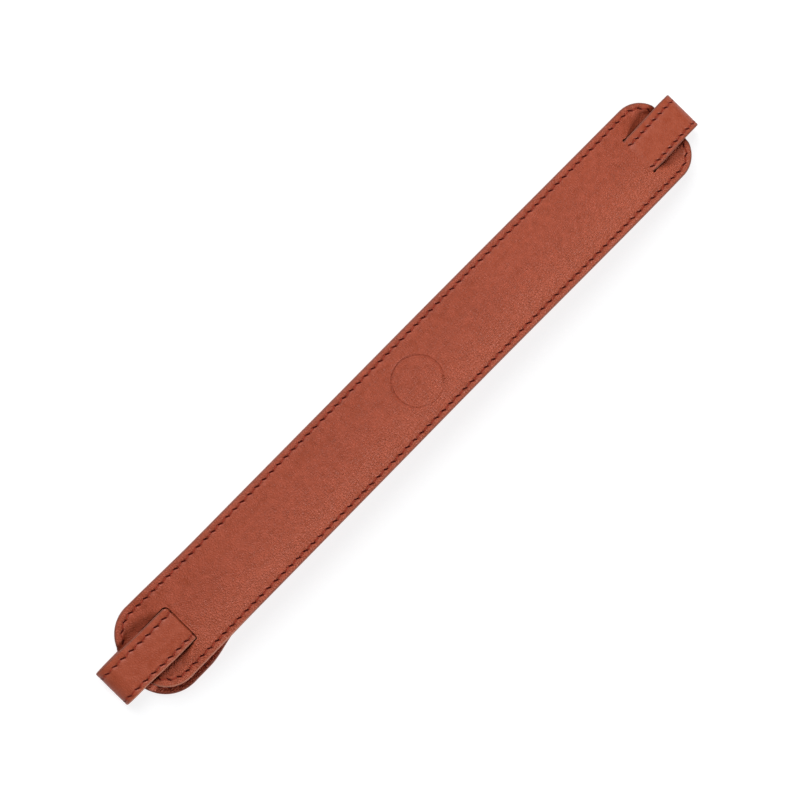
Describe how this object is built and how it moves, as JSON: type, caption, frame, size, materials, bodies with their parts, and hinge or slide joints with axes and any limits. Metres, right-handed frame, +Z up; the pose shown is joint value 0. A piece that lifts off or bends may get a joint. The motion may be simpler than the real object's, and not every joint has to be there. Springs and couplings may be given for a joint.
{
  "type": "camera wrist strap",
  "caption": "Flattened leather wrist loop for a camera: two stitched pads joined by a narrow band that runs inside both and folds round at each tip.",
  "frame": {"origin": "on the table under the middle of the strap, on the flat underside of the back pad", "axes": "+X along the strap from its left tip to its right tip, +Z up from the table through both pads, +Y across"},
  "size_m": [0.25, 0.0304, 0.0167],
  "materials": {
    "pad_leather": "pebbled semi-matte russet",
    "band_leather": "smooth semi-matte russet",
    "stitch_thread": "waxed dark red-brown thread"
  },
  "bodies": {
    "root": {"front_pad": "pad_leather", "back_pad": "pad_leather", "loop_band": "band_leather"}
  },
  "joints": []
}
